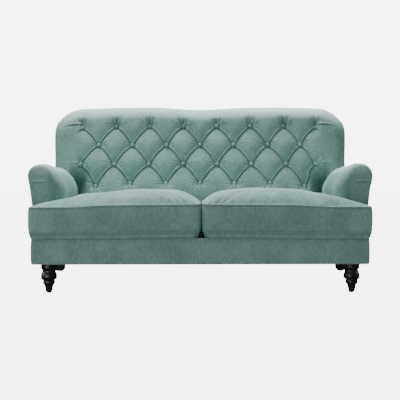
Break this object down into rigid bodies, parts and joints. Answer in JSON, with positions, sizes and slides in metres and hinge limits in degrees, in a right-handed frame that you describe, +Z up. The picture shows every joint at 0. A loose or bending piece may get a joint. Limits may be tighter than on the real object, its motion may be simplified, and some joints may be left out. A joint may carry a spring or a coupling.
{
  "type": "sofa",
  "caption": "Two-seat sofa with a deep-buttoned back, low rolled arms, loose T-shaped seat cushions and turned front legs.",
  "frame": {"origin": "on the floor, under the middle of the sofa's overall box", "axes": "+X to the right as seen from the front, +Y to the rear, +Z up; the sofa faces -Y"},
  "size_m": [1.7358, 0.9, 0.95],
  "materials": {
    "cover_fabric": "soft woven chenille, duck-egg green, matte with a light sheen",
    "deck_cloth": "plain platform cloth over foam",
    "dust_cloth": "thin black non-woven cloth",
    "beech": "sawn beech, unfinished",
    "black_wood": "black satin lacquer",
    "steel": "plain bright steel",
    "foam": "foam core wrapped in fibre",
    "webbing": "woven jute",
    "glide_plastic": "moulded, dark grey",
    "zip_tape": "woven zip tape with moulded teeth",
    "zip_metal": "plated zip slider"
  },
  "bodies": {
    "frame": {"front_rail": "beech", "rear_rail": "beech", "left_side_rail": "beech", "right_side_rail": "beech", "spring_rail": "beech", "seat_stretcher": "beech", "corner_blocks": "beech", "left_back_post": "beech", "right_back_post": "beech", "back_top_rail": "beech", "back_lower_rail": "beech", "back_uprights": "beech", "post_bolts": "steel", "left_arm_stump": "beech", "right_arm_stump": "beech", "left_arm_rail": "beech", "right_arm_rail": "beech", "left_arm_tack_rail": "beech", "right_arm_tack_rail": "beech", "seat_springs": "steel", "spring_clips": "steel", "spring_insulator": "webbing", "seat_deck": "deck_cloth", "back_webbing": "webbing", "back_pad": "cover_fabric", "back_buttons": "cover_fabric", "button_twines": "webbing", "outside_back": "cover_fabric", "left_arm_pad": "cover_fabric", "right_arm_pad": "cover_fabric", "left_arm_front": "cover_fabric", "right_arm_front": "cover_fabric", "left_outside_arm": "cover_fabric", "right_outside_arm": "cover_fabric", "front_border": "cover_fabric", "dust_cover": "dust_cloth", "left_front_leg": "black_wood", "right_front_leg": "black_wood", "left_rear_leg": "black_wood", "right_rear_leg": "black_wood", "leg_bolts": "steel", "leg_nuts": "steel", "leg_glides": "glide_plastic"},
    "left_cushion": {"left_cushion_cover": "cover_fabric", "left_cushion_core": "foam", "left_zip_tape": "zip_tape"},
    "right_cushion": {"right_cushion_cover": "cover_fabric", "right_cushion_core": "foam", "right_zip_tape": "zip_tape"},
    "left_zip": {"left_zip_slider": "zip_metal"},
    "right_zip": {"right_zip_slider": "zip_metal"}
  },
  "joints": [
    {"name": "left_cushion_lift", "type": "slide", "parent": "frame", "child": "left_cushion", "axis": [0, 0, 1], "range_m": [0, 0.35]},
    {"name": "right_cushion_lift", "type": "slide", "parent": "frame", "child": "right_cushion", "axis": [0, 0, 1], "range_m": [0, 0.35]},
    {"name": "left_zip_run", "type": "slide", "parent": "left_cushion", "child": "left_zip", "axis": [-1, 0, 0], "range_m": [0, 0.46]},
    {"name": "right_zip_run", "type": "slide", "parent": "right_cushion", "child": "right_zip", "axis": [1, 0, 0], "range_m": [0, 0.46]}
  ]
}
